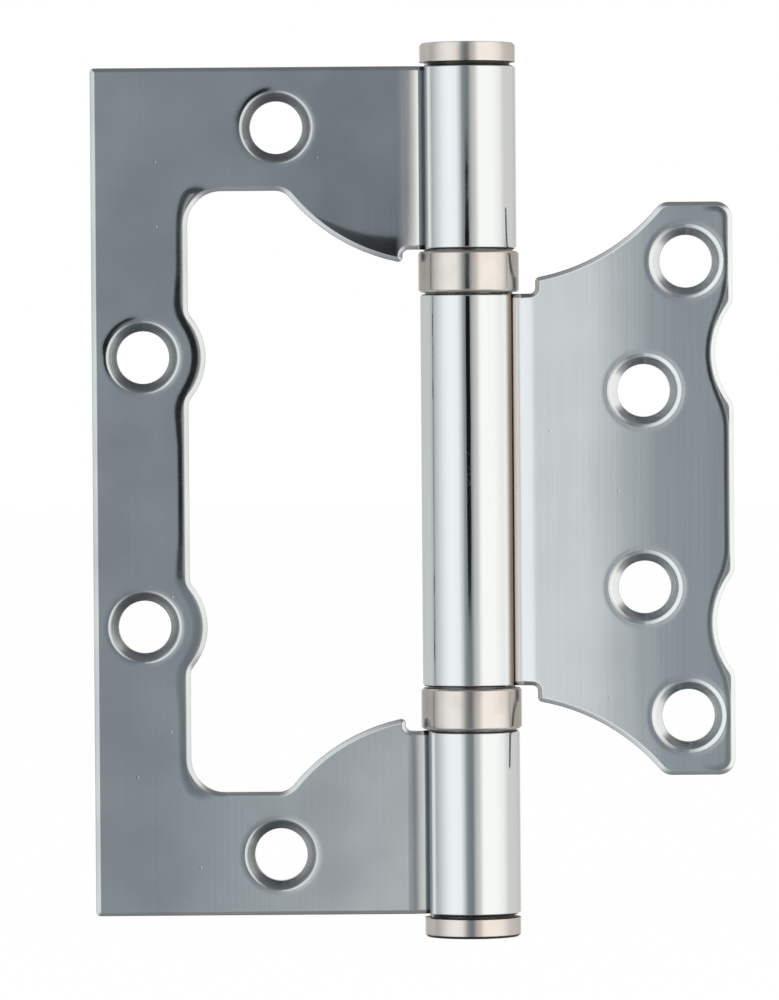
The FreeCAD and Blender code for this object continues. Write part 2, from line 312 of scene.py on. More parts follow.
# Tilts a surface towards a direction of its piece, by an amount
def addTilt(tree, normal, direction, amount):
    toward = addNode(tree, "VectorTransform", {0: direction}, vector_type="VECTOR", convert_from="OBJECT",
                     convert_to="WORLD")
    push = addNode(tree, "VectorMath", {0: toward, "Scale": amount}, operation="SCALE")
    return addNode(tree, "VectorMath", {0: normal, 1: push}, operation="ADD")


# Chrome-plated steel sheet, pressed and polished: both leaves. Near mirror-bright on the barrel, a little
# hazy on the flats, with slow waves, fine draw lines, rub marks and nicks. Film and dirt sit in the seams,
# with painted shade there and where surfaces meet

leafShape = {                       # mm from the pin, and up and down from its middle
    "window": (33.15, 35.45),       # far side and top of the outer leaf's window
    "boss": (38.5, 15.9, 7.4),      # centre and radius of the bulge into the window
    "ear": (3.67, 49.07, 22.6),     # centre and radius of the curve that runs down to the knuckle
    "tongue": (31.1, 33.8),         # free edge and top of the inner leaf
    "notch": 9.5,                   # radius, round the boss
    "countersink": 4.15,            # radius
    "blend": (1.5, 2.5, 7.0),       # how softly two edges meet: at an ear, a boss and the window's corner
    "turn": 3.0,                    # within this reach of a corner an edge stops facing sideways
}

leafFinish = {
    "side": {"outer_leaf": -1.0, "inner_leaf": 1.0},  # of the pin, along X
    "chrome": "#D3D8DB",
    "flatChrome": {"outer_leaf": "#C9CED1", "inner_leaf": "#D2D7DA"},  # the rolls left the flats duller
    "hazedChrome": {"outer_leaf": "#BABFC3", "inner_leaf": "#CDD2D5"},  # in patches
    "patchesPerMm": 0.09,           # for haze and rub marks
    "hazeLevels": (0.35, 0.65),     # of the patches, from clear to hazed
    "barrelRoughness": 0.055,
    "barrelEnd": (5.9, 7.1),        # mm from the pin, where the barrel's polish ends and the flat's starts
    "flatRoughness": {"outer_leaf": 0.10, "inner_leaf": 0.14},
    "roughnessLevels": (0.3, 0.7),  # of the patches, from smoother to rougher
    "roughnessSpread": (-0.02, 0.03),
    "bendRoughness": {"outer_leaf": 0.3, "inner_leaf": 0.14},  # bending stretched the skin there
    "bendReach": (8.6, 7.5),        # mm from the pin, where the bend starts and where it is as dull as that

    # degrees that the flat looks away from square, at the bend and past it: the sheet isn't quite true
    "lean": {"outer_leaf": (4.7, 4.0), "inner_leaf": (12.0, 8.2)},
    "leanFrom": 4.9,                # mm from the pin
    "leanChange": {"outer_leaf": (12.0, 40.0), "inner_leaf": (11.5, 25.0)},  # mm from the pin
    "twist": {"outer_leaf": 4.6, "inner_leaf": 0.0},  # degrees more at the foot, next to the pin
    "twistUp": (-10.0, -32.0),      # mm up the pin, where the twist starts and is full
    "twistReach": 38.6,             # mm from the pin, where it ends
    # mm: size across, size up and height of the slow waves of the sheet
    "waves": {"outer_leaf": (26.0, 13.0, 0.10), "inner_leaf": (5.0, 40.0, 0.03)},
    # mm: width, length and height of the lines that rolling leaves
    "drawLine": {"outer_leaf": (0.45, 45.0, 0.0016), "inner_leaf": (0.45, 24.0, 0.0028)},
    "detail": (1.5, 2.0),           # of the waves and of the lines

    "rub": (0.22, 14.0),            # mm: width and length of a rub mark; finer ones wouldn't show
    "rubAngles": (12, 68, 131),     # degrees
    "rubLevels": (0.67, 0.75),      # of the grain, where a mark starts and is full
    "rubPatch": (0.4, 0.65),        # of the patches, where there are none and where all show
    "rubRoughness": 0.17,
    "nick": (0.16, 11.0, 0.01),     # mm: radius, spacing and depth of the nicks
    "nickFloor": 0.4,               # share of its radius
    "nickEmpty": 0.5,               # share of their places that stay empty

    # mm from the pin and up from its middle: the upper two screw holes, the lower two mirror them
    "holes": {"outer_leaf": ((22.6, 42.9), (38.5, 15.9)), "inner_leaf": ((25.6, 26.8), (20.55, 11.6))},
    "holeBack": 0.1,                # mm in front of the mounting face, where a countersink's look ends
    # mm: radius, width and depth of the ring that the press left
    "sunkRing": {"outer_leaf": (4.15, 0.4, 0.027), "inner_leaf": (4.45, 0.34, 0.02)},
    "countersinkLean": {"outer_leaf": 6.0, "inner_leaf": 0.0},  # degrees steeper than it is cut, to the eye
    "countersinkDull": {"outer_leaf": 0.7, "inner_leaf": 0.0},  # how thin the plating is there
    "bareSteel": "#A3A8AB",
    "bareRoughness": 0.3,
    "cutter": (0.24, 0.0012),       # mm: pitch and depth of the turned lines of a countersink
    "dent": (0.55, 0.36),           # mm past the ring and wide, up and away from the pin at the upper holes
    "dentSlope": {"outer_leaf": 0.055, "inner_leaf": 0.0},  # towards the pin
    "dentSector": (1.0, 1.35),      # from none to full: 1 is straight up, 1.41 half-way to the free edge

    # mm from the edge where the sheet starts to turn in, at the bosses and elsewhere, and degrees at the edge
    "drawnIn": {"outer_leaf": (1.9, 1.5, 9.0), "inner_leaf": (1.3, 1.3, 9.0)},
    "bossReach": 4.0,               # mm round a boss
    "earCurl": {"outer_leaf": (2.5, 0.9), "inner_leaf": (0.0, 0.0)},  # degrees at the ear's edge and round it
    "earCurlWidth": ((18.0, 8.0), (0.2, 1.7)),  # mm from the pin, and mm from the edge there
    "earCurlShare": (1.7, 0.7),     # of that width, where the curl starts and is full
    "earReach": 8.0,                # mm from the edge, round it
    "earEnd": (19.0, 16.0),         # mm from the pin, where it starts and is full
    "edgeLine": 0.05,               # mm, how sharply all this ends at the sloping edge
    "edgeRounding": 0.2,            # mm
    "edgeSlope": 0.5,               # mm, width of the sloping front edge

    "bendLift": {"outer_leaf": 15.0, "inner_leaf": 31.8},  # degrees that the bend looks flatter at the seam
    "bend": {"outer_leaf": (5.0, 6.4), "inner_leaf": (5.2, 7.6)},  # mm from the pin
    "endStrip": {"outer_leaf": (4.6, 0.2), "inner_leaf": (4.25, 0.3)},  # mm from the pin and mm wide
    "endLift": {"outer_leaf": 0.6, "inner_leaf": 0.35},  # how much flatter the rolled end looks there
    # mm from the pin, from and to, and how far the foot of the bend is turned aside at both
    "foot": {"outer_leaf": (5.1, 5.9, 0.0, 0.0), "inner_leaf": (5.1, 5.93, 0.3, 0.36)},
    "footDepth": (-1.8, 0.5),       # mm behind the pin, from and to

    "seamEnd": {"outer_leaf": 5.2, "inner_leaf": 4.9},  # mm from the pin, where the rolled end is filmed over and given painted shade
    # mm to its sides, where the film and painted shade end and where they are full
    "seamFilmAndShade": {"outer_leaf": (0.4, 0.15), "inner_leaf": (0.75, 0.15)},
    "seamFront": 0.5,               # mm behind the pin, where this film and painted shade stop
    "dirtAndShadeReach": 1.3,               # mm from a seam
    "filmAndShadeAt": (0.38, 0.26),         # how open a place is, where film and painted shade start and where they are full
    "dirtAndShadeAt": (0.32, 0.14),         # the same for dirt and its darker painted shade
    # Colours of film and dirt, dark enough to stand for the shade in the seams as well: painted shade
    "filmAndShade": {"outer_leaf": "#868E92", "inner_leaf": "#8E7C6B"},
    "dirtAndShade": {"outer_leaf": "#6E767A", "inner_leaf": "#7A6A5B"},
    "filmAndShadeRoughness": 0.35,
    "dirtAndShadeMetallic": 0.4,
}


# Where a place on a leaf lies, in mm from the pin. Its lower half is laid out like the upper one
def leafPlace(tree, finish):
    spot = placeFromPin(tree)
    axes = addNode(tree, "SeparateXYZ", {0: spot})
    outward = addNode(tree, "Math", {0: axes.outputs["X"], 1: finish["side"]}, operation="MULTIPLY")
    across = addNode(tree, "Math", {0: outward, 1: 0.0}, operation="MAXIMUM")
    up = addNode(tree, "Math", {0: axes.outputs["Z"]}, operation="ABSOLUTE")
    start, stop = finish["barrelEnd"]
    return {
        "spot": spot, "x": axes.outputs["X"], "y": axes.outputs["Y"], "z": axes.outputs["Z"],
        "outward": outward, "across": across, "up": up,
        "folded": addNode(tree, "CombineXYZ", {"X": across, "Z": up}),
        "flat": addNode(tree, "MapRange", {0: across, 1: start, 2: stop}),
    }


# The flat leans, a little less past leanChange, and its foot is twisted, most beside the pin
def leanHeights(tree, place, finish):
    near, far = (finish["side"] * slopeOf(v) for v in finish["lean"])
    start, stop = finish["leanChange"]
    past = addNode(tree, "Math", {0: place["across"], 1: finish["leanFrom"]}, operation="SUBTRACT")
    along = addNode(tree, "Math", {0: past, 1: 0.0}, operation="MAXIMUM")
    # The slope changes as a smooth step does, so the height follows the area under it
    share = addNode(tree, "MapRange", {0: place["across"], 1: start, 2: stop})
    cube = addNode(tree, "Math", {0: share, 1: 3.0}, operation="POWER")
    fourth = addNode(tree, "Math", {0: share, 1: 4.0}, operation="POWER")
    eased = addNode(tree, "Math", {0: fourth, 1: -0.5, 2: cube}, operation="MULTIPLY_ADD")
    after = addNode(tree, "Math", {0: place["across"], 1: stop}, operation="SUBTRACT")
    beyond = addNode(tree, "Math", {0: after, 1: 0.0}, operation="MAXIMUM")
    change = addNode(tree, "Math", {0: eased, 1: stop - start, 2: beyond}, operation="MULTIPLY_ADD")
    lean = addNode(tree, "Math", {0: along, 1: near}, operation="MULTIPLY")
    less = addNode(tree, "Math", {0: change, 1: far - near}, operation="MULTIPLY")

    low, lowest = finish["twistUp"]
    most = finish["side"] * slopeOf(finish["twist"])
    foot = addNode(tree, "MapRange", {0: place["z"], 1: low, 2: lowest, 4: most},
                   interpolation_type="SMOOTHSTEP")
    square = addNode(tree, "Math", {0: along, 1: along}, operation="MULTIPLY")
    turned = addNode(tree, "Math", {0: square, 1: -0.5 / finish["twistReach"], 2: along},
                     operation="MULTIPLY_ADD")
    twist = addNode(tree, "Math", {0: turned, 1: foot}, operation="MULTIPLY")
    return [lean, less, twist]


# Slow waves of the sheet, and the lines that rolling leaves along the barrel and the leaf
def waveHeights(tree, place, finish):
    heights = []
    for key, detail in zip(("waves", "drawLine"), finish["detail"]):
        wide, tall, deep = finish[key]
        stretched = addNode(tree, "Mapping", {0: place["spot"], "Scale": (wide, wide, tall)},
                            vector_type="TEXTURE")
        noise = addNode(tree, "TexNoise", {0: stretched, "Scale": 1.0, "Detail": detail})
        heights.append(addNode(tree, "Math", {0: noise, 1: deep}, operation="MULTIPLY"))
    return heights


# How far the nearest screw hole is, in mm, and how much a place is in its countersink and in its dent
def holePlace(tree, place, finish):
    (firstX, firstZ), (secondX, secondZ) = finish["holes"]
    toFirst, toSecond = (
        addNode(tree, "VectorMath", {0: place["folded"], 1: (x, 0, z)}, operation="DISTANCE").outputs["Value"]
        for x, z in finish["holes"]
    )
    toHole = addNode(tree, "Math", {0: toFirst, 1: toSecond}, operation="MINIMUM")
    within = addNode(tree, "Math", {0: toHole, 1: leafShape["countersink"]}, operation="LESS_THAN")
    backOfHole = -finish["holeBack"] - pinAxis.y / mm
    front = addNode(tree, "Math", {0: place["y"], 1: backOfHole}, operation="LESS_THAN")
    inHole = addNode(tree, "Math", {0: within, 1: front}, operation="MULTIPLY")

    first = addNode(tree, "Math", {0: toFirst, 1: toSecond}, operation="LESS_THAN")
    holeX = addNode(tree, "Mix", {0: first, 2: secondX, 3: firstX})
    holeZ = addNode(tree, "Mix", {0: first, 2: secondZ, 3: firstZ})
    fromX = addNode(tree, "Math", {0: place["across"], 1: holeX}, operation="SUBTRACT")
    fromZ = addNode(tree, "Math", {0: place["z"], 1: holeZ}, operation="SUBTRACT")
    diagonal = addNode(tree, "Math", {0: fromX, 1: fromZ}, operation="ADD")
    direction = addNode(tree, "Math", {0: diagonal, 1: toHole}, operation="DIVIDE")
    start, stop = finish["dentSector"]
    sector = addNode(tree, "MapRange", {0: direction, 1: start, 2: stop}, interpolation_type="SMOOTHSTEP")
    pastRing, width = finish["dent"]
    around = addBell(tree, toHole, finish["sunkRing"][0] + pastRing, width)
    dent = addNode(tree, "Math", {0: around, 1: sector}, operation="MULTIPLY")
    return toHole, inHole, dent


# Round each screw hole the press left a shallow ring, and the countersink has turned lines
def holeHeights(tree, toHole, inHole, finish):
    radius, width, depth = finish["sunkRing"]
    ring = addBell(tree, toHole, radius, width)
    sunk = addNode(tree, "Math", {0: ring, 1: -depth}, operation="MULTIPLY")
    deeper = addNode(tree, "Math", {0: toHole, 1: leafShape["countersink"]}, operation="MINIMUM")
    steeper = addNode(tree, "Math", {0: deeper, 1: slopeOf(finish["countersinkLean"])}, operation="MULTIPLY")
    pitch, depth = finish["cutter"]
    turns = addNode(tree, "Math", {0: toHole, 1: 2 * math.pi / pitch}, operation="MULTIPLY")
    ripple = addNode(tree, "Math", {0: turns}, operation="SINE")
    lines = addNode(tree, "Math", {0: ripple, 1: depth}, operation="MULTIPLY")
    cut = addNode(tree, "Math", {0: lines, 1: inHole}, operation="MULTIPLY")
    return [sunk, steeper, cut]


# Nicks from handling, in every other place
def nickHeight(tree, place, finish):
    radius, spacing, depth = finish["nick"]
    rim, floor = radius / spacing, finish["nickFloor"] * radius / spacing
    sheet = addNode(tree, "CombineXYZ", {"X": place["x"], "Y": place["z"]})
    cells = addNode(tree, "TexVoronoi", {0: sheet, "Scale": 1 / spacing}, voronoi_dimensions="2D")
    pit = addNode(tree, "MapRange", {0: cells.outputs["Distance"], 1: rim, 2: floor})
    chance = cells.outputs["Color"]
    kept = addNode(tree, "Math", {0: chance, 1: finish["nickEmpty"]}, operation="GREATER_THAN")
    nick = addNode(tree, "Math", {0: pit, 1: kept}, operation="MULTIPLY")
    nick = addNode(tree, "Math", {0: nick, 1: place["flat"]}, operation="MULTIPLY")
    return addNode(tree, "Math", {0: nick, 1: -depth}, operation="MULTIPLY")


# Beside the seam the bend looks flatter than it is cut
def bendHeight(tree, place, finish):
    start, stop = finish["bend"]
    left = addNode(tree, "MapRange", {0: place["across"], 1: start, 2: stop, 3: 1.0, 4: 0.0})
    cube = addNode(tree, "Math", {0: left, 1: 3.0}, operation="POWER")
    lift = slopeOf(finish["bendLift"]) * (stop - start) / 3
    return addNode(tree, "Math", {0: cube, 1: lift}, operation="MULTIPLY")


# How far a place is from the leaf's edge, in mm, how much that edge faces sideways, from 0 to 1, and how far
# the middle of the nearest boss is, in mm
def leafEdge(tree, node, place):
    across, up, folded = place["across"], place["up"], place["folded"]
    atEar, atBoss, atCorner = leafShape["blend"]
    bossX, bossZ, bossRadius = leafShape["boss"]
    bossSpot = (bossX, 0, bossZ)
    toBoss = addNode(tree, "VectorMath", {0: folded, 1: bossSpot}, operation="DISTANCE").outputs["Value"]
    if node == "outer_leaf":
        side, top = leafShape["window"]
        earX, earZ, earRadius = leafShape["ear"]
        earSpot = (earX, 0, earZ)
        toEar = addNode(tree, "VectorMath", {0: folded, 1: earSpot}, operation="DISTANCE").outputs["Value"]
        strip = addNode(tree, "Math", {0: across, 1: side}, operation="SUBTRACT")
        rail = addNode(tree, "Math", {0: up, 1: top}, operation="SUBTRACT")
        boss = addNode(tree, "Math", {0: bossRadius, 1: toBoss}, operation="SUBTRACT")
        ear = addNode(tree, "Math", {0: earRadius, 1: toEar}, operation="SUBTRACT")
        beside = addNode(tree, "Math", {0: strip, 1: boss, 2: atBoss}, operation="SMOOTH_MAX")
        corner = addNode(tree, "Math", {0: beside, 1: rail, 2: atCorner}, operation="SMOOTH_MAX")
        edge = addNode(tree, "Math", {0: corner, 1: ear, 2: atEar}, operation="SMOOTH_MAX")
        lead = addNode(tree, "Math", {0: beside, 1: rail}, operation="SUBTRACT")
    else:
        side, top = leafShape["tongue"]
        free = addNode(tree, "Math", {0: side, 1: across}, operation="SUBTRACT")
        above = addNode(tree, "Math", {0: top, 1: up}, operation="SUBTRACT")
        notch = addNode(tree, "Math", {0: toBoss, 1: leafShape["notch"]}, operation="SUBTRACT")
        beside = addNode(tree, "Math", {0: free, 1: notch, 2: atBoss}, operation="SMOOTH_MIN")
        edge = addNode(tree, "Math", {0: beside, 1: above, 2: atEar}, operation="SMOOTH_MIN")
        lead = addNode(tree, "Math", {0: above, 1: beside}, operation="SUBTRACT")
    sideways = addNode(tree, "MapRange", {0: lead, 1: -leafShape["turn"], 2: 0.0})
    return edge, sideways, toBoss


# The upper ear's edge curls towards the pin
def earCurl(tree, place, inward, finish):
    curl, shade = (slopeOf(v) for v in finish["earCurl"])
    (outer, inner), (narrow, broad) = finish["earCurlWidth"]
    width = addNode(tree, "MapRange", {0: place["across"], 1: outer, 2: inner, 3: narrow, 4: broad})
    share = addNode(tree, "Math", {0: inward, 1: width}, operation="DIVIDE")
    start, full = finish["earCurlShare"]
    hug = addNode(tree, "MapRange", {0: share, 1: start, 2: full, 4: curl}, interpolation_type="SMOOTHSTEP")
    wider = addNode(tree, "MapRange", {0: inward, 1: finish["earReach"], 2: 0.0, 4: shade})
    curled = addNode(tree, "Math", {0: hug, 1: wider}, operation="ADD")
    start, full = finish["earEnd"]
    onEar = addNode(tree, "MapRange", {0: place["across"], 1: start, 2: full})
    upper = addNode(tree, "Math", {0: place["z"], 1: 0.0}, operation="GREATER_THAN")
    for limit in (onEar, upper):
        curled = addNode(tree, "Math", {0: curled, 1: limit}, operation="MULTIPLY")
    return curled


# How far the sheet turns along its edges: the punch drew it in where they face sideways
def edgeTurn(tree, node, place, finish):
    edge, sideways, toBoss = leafEdge(tree, node, place)
    slope = finish["edgeSlope"]
    inward = addNode(tree, "Math", {0: edge, 1: slope}, operation="SUBTRACT")
    atBoss, elsewhere, steep = finish["drawnIn"]
    bossRadius = leafShape["boss"][2]
    width = addNode(tree, "MapRange", {
        0: toBoss, 1: bossRadius, 2: bossRadius + finish["bossReach"],
        3: atBoss - slope, 4: elsewhere - slope,
    })
    share = addNode(tree, "Math", {0: inward, 1: width}, operation="DIVIDE")
    rest = addNode(tree, "MapRange", {0: share, 1: 1.0, 2: 0.0, 4: slopeOf(steep)})
    drawn = addNode(tree, "Math", {0: rest, 1: sideways}, operation="MULTIPLY")
    turn = addNode(tree, "Math", {0: drawn, 1: earCurl(tree, place, inward, finish)}, operation="ADD")
    line = finish["edgeLine"]
    within = addNode(tree, "MapRange", {0: inward, 1: -line, 2: line})
    for limit in (within, place["flat"]):
        turn = addNode(tree, "Math", {0: turn, 1: limit}, operation="MULTIPLY")
    return turn


# The rolled end is pressed flatter along the seam
def seamStrip(tree, place, finish):
    fromPin, width = finish["endStrip"]
    strip = addBell(tree, place["outward"], fromPin, width)
    ahead = addNode(tree, "Math", {0: place["y"], 1: 0.0}, operation="LESS_THAN")
    return addNode(tree, "Math", {0: strip, 1: ahead}, operation="MULTIPLY")


# Under it the bend was set away from the pin
def footTurn(tree, place, finish):
    start, stop, least, most = finish["foot"]
    deepest, highest = finish["footDepth"]
    turn = addNode(tree, "MapRange", {0: place["across"], 1: start, 2: stop, 3: least, 4: most})
    under = addNode(tree, "Math", {0: place["y"], 1: deepest}, operation="GREATER_THAN")
    over = addNode(tree, "Math", {0: place["y"], 1: highest}, operation="LESS_THAN")
    beside = addNode(tree, "Math", {0: place["across"], 1: stop}, operation="LESS_THAN")
    for limit in (under, over, beside):
        turn = addNode(tree, "Math", {0: turn, 1: limit}, operation="MULTIPLY")
    return turn


# Which way the leaf's surface faces: its heights are in mm
def leafFacing(tree, node, place, heights, dent, finish):
    total = heights[0]
    for height in heights[1:]:
        total = addNode(tree, "Math", {0: total, 1: height}, operation="ADD")
    metres = addNode(tree, "Math", {0: total, 1: mm}, operation="MULTIPLY")
    rounded = addNode(tree, "Bevel", {"Radius": finish["edgeRounding"] * mm}, samples=8)
    facing = addNode(tree, "Bump", {"Strength": 1.0, "Distance": 1.0, "Height": metres, "Normal": rounded})
    facing = addTilt(tree, facing, (1, 0, 0), edgeTurn(tree, node, place, finish))
    facing = addTilt(tree, facing, (finish["dentSlope"], 0, 0), dent)
    facing = addTilt(tree, facing, (0, -finish["endLift"], 0), seamStrip(tree, place, finish))
    facing = addTilt(tree, facing, (1, 0, 0), footTurn(tree, place, finish))
    return addNode(tree, "VectorMath", {0: facing}, operation="NORMALIZE")


# Colour and roughness of the plating: rub marks and haze in patches, and thin plating in the countersinks
def leafPlating(tree, place, inHole, finish):
    wide, tall = finish["rub"]
    start, full = finish["rubLevels"]
    rubs = 0.0
    for angle in finish["rubAngles"]:
        turned = addNode(tree, "Mapping", {
            0: place["spot"], "Rotation": (0, math.radians(angle), 0), "Scale": (wide, 1.0, tall),
        }, vector_type="TEXTURE")
        grain = addNode(tree, "TexNoise", {0: turned, "Scale": 1.0, "Detail": 1.0})
        marks = addNode(tree, "MapRange", {0: grain, 1: start, 2: full})
        rubs = addNode(tree, "Math", {0: marks, 1: rubs}, operation="MAXIMUM")
    patch = addNode(tree, "TexNoise", {0: place["spot"], "Scale": finish["patchesPerMm"], "Detail": 3.0})
    start, full = finish["rubPatch"]
    worn = addNode(tree, "MapRange", {0: patch, 1: start, 2: full})
    rubbed = addNode(tree, "Math", {0: rubs, 1: worn}, operation="MULTIPLY")

    start, full = finish["roughnessLevels"]
    least, most = (finish["flatRoughness"] + v for v in finish["roughnessSpread"])
    haze = addNode(tree, "MapRange", {0: patch, 1: start, 2: full, 3: least, 4: most})
    start, stop = finish["bendReach"]
    bent = addNode(tree, "MapRange", {0: place["across"], 1: start, 2: stop})
    skin = addNode(tree, "Mix", {0: bent, 2: haze, 3: finish["bendRoughness"]})
    polish = addNode(tree, "Mix", {0: place["flat"], 2: finish["barrelRoughness"], 3: skin})
    rubbing = addNode(tree, "Math", {0: polish, 1: finish["rubRoughness"]}, operation="MAXIMUM")
    marked = addNode(tree, "Mix", {0: rubbed, 2: polish, 3: rubbing})
    bare = addNode(tree, "Math", {0: inHole, 1: finish["countersinkDull"]}, operation="MULTIPLY")
    roughness = addNode(tree, "Mix", {0: bare, 2: marked, 3: finish["bareRoughness"]})

    start, full = finish["hazeLevels"]
    hazed = addNode(tree, "MapRange", {0: patch, 1: start, 2: full})
    dulled = addNode(tree, "Mix", {
        0: hazed, 6: linearColour(finish["flatChrome"]), 7: linearColour(finish["hazedChrome"]),
    }, data_type="RGBA")
    barrel = linearColour(finish["chrome"])
    plating = addNode(tree, "Mix", {0: place["flat"], 6: barrel, 7: dulled.outputs[2]}, data_type="RGBA")
    colour = addNode(tree, "Mix", {
        0: bare, 6: plating.outputs[2], 7: linearColour(finish["bareSteel"]),
    }, data_type="RGBA").outputs[2]
    return colour, roughness


# Film and dirt where surfaces meet, and film on the rolled end beside the seam, with painted shade in both:
# how much of a place is covered, and how deep it lies
def leafDirtAndShade(tree, place, finish):
    corner = addNode(tree, "AmbientOcclusion", {"Distance": finish["dirtAndShadeReach"] * mm}, samples=8)
    hidden, depth = (
        addNode(tree, "MapRange", {0: corner.outputs["AO"], 1: start, 2: full})
        for start, full in (finish["filmAndShadeAt"], finish["dirtAndShadeAt"])
    )
    fromEnd = addNode(tree, "Math", {0: place["outward"], 1: finish["seamEnd"]}, operation="SUBTRACT")
    offEnd = addNode(tree, "Math", {0: fromEnd}, operation="ABSOLUTE")
    behind = addNode(tree, "Math", {0: place["y"], 1: finish["seamFront"]}, operation="GREATER_THAN")
    offEnd = addNode(tree, "Math", {0: offEnd, 1: behind}, operation="ADD")
    stop, full = finish["seamFilmAndShade"]
    filmedAndShaded = addNode(tree, "MapRange", {0: offEnd, 1: stop, 2: full})
    amount = addNode(tree, "Math", {0: hidden, 1: filmedAndShaded}, operation="MAXIMUM")
    return amount, depth


def leafMaterial(node):
    material = newMaterial("chrome-plated steel, pressed and polished, " + node)
    tree = material.node_tree
    finish = valuesOf(leafFinish, node)
    place = leafPlace(tree, finish)
    toHole, inHole, dent = holePlace(tree, place, finish)
    heights = leanHeights(tree, place, finish) + waveHeights(tree, place, finish)
    heights += holeHeights(tree, toHole, inHole, finish)
    heights += [nickHeight(tree, place, finish), bendHeight(tree, place, finish)]
    facing = leafFacing(tree, node, place, heights, dent, finish)
    plating, roughness = leafPlating(tree, place, inHole, finish)
    amount, depth = leafDirtAndShade(tree, place, finish)
    # Where the seams and crevices lie in shade they take the film and dirt colours: painted shade, with film
    # and dirt
    soilAndShade = addNode(tree, "Mix", {
        0: depth, 6: linearColour(finish["filmAndShade"]), 7: linearColour(finish["dirtAndShade"]),
    }, data_type="RGBA")
    colour = addNode(tree, "Mix", {0: amount, 6: plating, 7: soilAndShade.outputs[2]}, data_type="RGBA")
    clean = addNode(tree, "MapRange", {0: depth, 3: 1.0, 4: finish["dirtAndShadeMetallic"]})
    coveredRoughness = addNode(tree, "Mix", {0: amount, 2: roughness, 3: finish["filmAndShadeRoughness"]})
    metal = addNode(tree, "BsdfPrincipled", {
        "Base Color": colour.outputs[2], "Metallic": clean, "Roughness": coveredRoughness, "Normal": facing,
    })
    addNode(tree, "OutputMaterial", {"Surface": metal})
    return material


# Satin nickel on turned steel: caps and bearing shells. Warm and soft beside the chrome, with fine turned or
# drawn lines, a faint yellow bloom in places, grime and painted shade on the flanks beside both leaves,
# and dark dirt with painted shade in the grooves

nickelFinish = {
    "nickel": {"cap": "#D0CCC9", "ring": "#D0CDCA"},
    "bloom": {"cap": "#CBC4BD", "ring": "#C9C2BC"},
    "patchesPerMm": 0.35,           # for bloom and grime
    "bloomLevels": (0.45, 0.75),    # of the patches, from none to full
    # Darker on the flanks left and right of the pin: grime in patches, and painted shade where the flanks
    # turn away
    "grimeAndShade": "#8C8781",
    "grimeAndShadeFrom": (4.0, 5.2),        # mm to the left and right of the pin
    "grimeAndShadeShare": {"cap": 0.25, "ring": 0.7},
    "grimeAndShadePatch": (0.2, 0.6, 0.7),  # of the patches, from thinner to full, and the thinner share
    "roughness": {"cap": 0.13, "ring": 0.11},
    "roughnessLevels": (0.3, 0.7),  # of the lines, from smoother to rougher
    "roughnessSpread": (-0.03, 0.04),
    # mm: width round the barrel, width up it and height of a cap's turned lines and a ring's drawn lines
    "lines": {"cap": (14.0, 0.16, 0.0014), "ring": (0.2, 5.0, 0.002)},
    "edgeRounding": 0.25,           # mm
    "edgeTilt": {"cap": 0.27, "ring": 0.6},  # the worn edges look less steep than they are cut
    # Near black in the grooves between parts: dirt, and painted shade where the grooves lie in shadow
    "dirtAndShadeReach": 0.9,               # mm
    "dirtAndShadeAt": (0.72, 0.5),          # how open a place is, where dirt and painted shade start and where they are full
    "dirtAndShade": "#0F0E0D",
    "dirtAndShadeRoughness": 0.5,
    "dirtAndShadeMetallic": 0.2,
}


